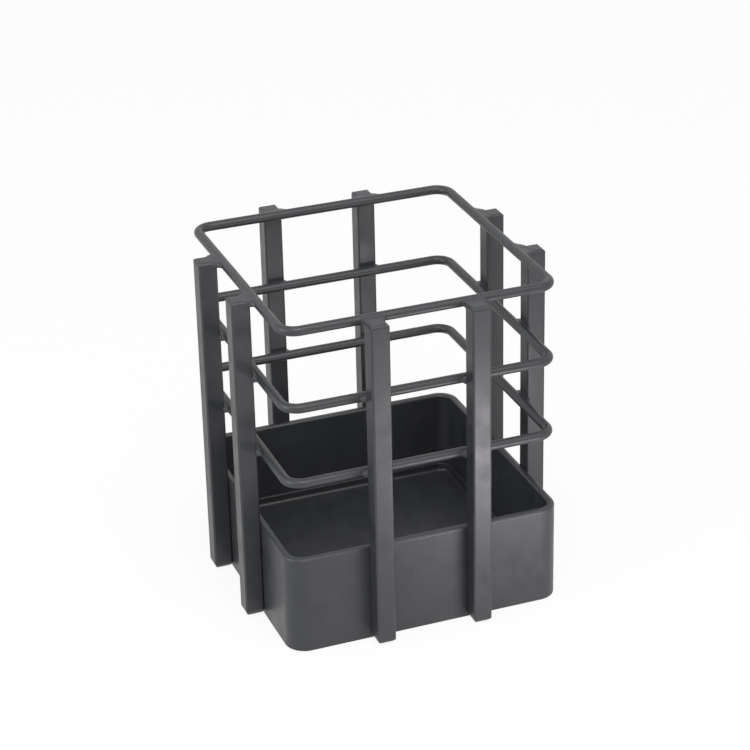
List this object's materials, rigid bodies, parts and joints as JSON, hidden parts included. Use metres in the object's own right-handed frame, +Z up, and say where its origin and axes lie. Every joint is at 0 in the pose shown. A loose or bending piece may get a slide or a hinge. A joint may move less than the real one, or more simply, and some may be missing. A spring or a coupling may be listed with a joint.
{
  "type": "cutlery holder",
  "caption": "Open square cage of upright bars and bent wire rings welded round a shallow sheet-metal cup, which holds cutlery upright on a table.",
  "frame": {"origin": "centre of the footprint, on the surface that the holder stands on", "axes": "+X to the right along the front, +Y towards the rear, +Z up"},
  "size_m": [0.102, 0.102, 0.1088],
  "materials": {
    "coated_sheet": "satin charcoal powder coat on bent sheet",
    "coated_pan": "satin charcoal powder coat on the pressed floor",
    "coated_wire": "satin charcoal powder coat on round wire",
    "coated_bar": "satin charcoal powder coat on square bar",
    "coated_weld": "satin charcoal powder coat over the weld"
  },
  "bodies": {
    "root": {"cup_wall": "coated_sheet", "floor_pan": "coated_pan", "lower_ring": "coated_wire", "middle_ring": "coated_wire", "top_ring": "coated_wire", "front_left_post": "coated_bar", "front_right_post": "coated_bar", "right_front_post": "coated_bar", "right_rear_post": "coated_bar", "rear_right_post": "coated_bar", "rear_left_post": "coated_bar", "left_rear_post": "coated_bar", "left_front_post": "coated_bar", "front_left_post_welds": "coated_weld", "front_right_post_welds": "coated_weld", "right_front_post_welds": "coated_weld", "right_rear_post_welds": "coated_weld", "rear_right_post_welds": "coated_weld", "rear_left_post_welds": "coated_weld", "left_rear_post_welds": "coated_weld", "left_front_post_welds": "coated_weld"}
  },
  "joints": []
}
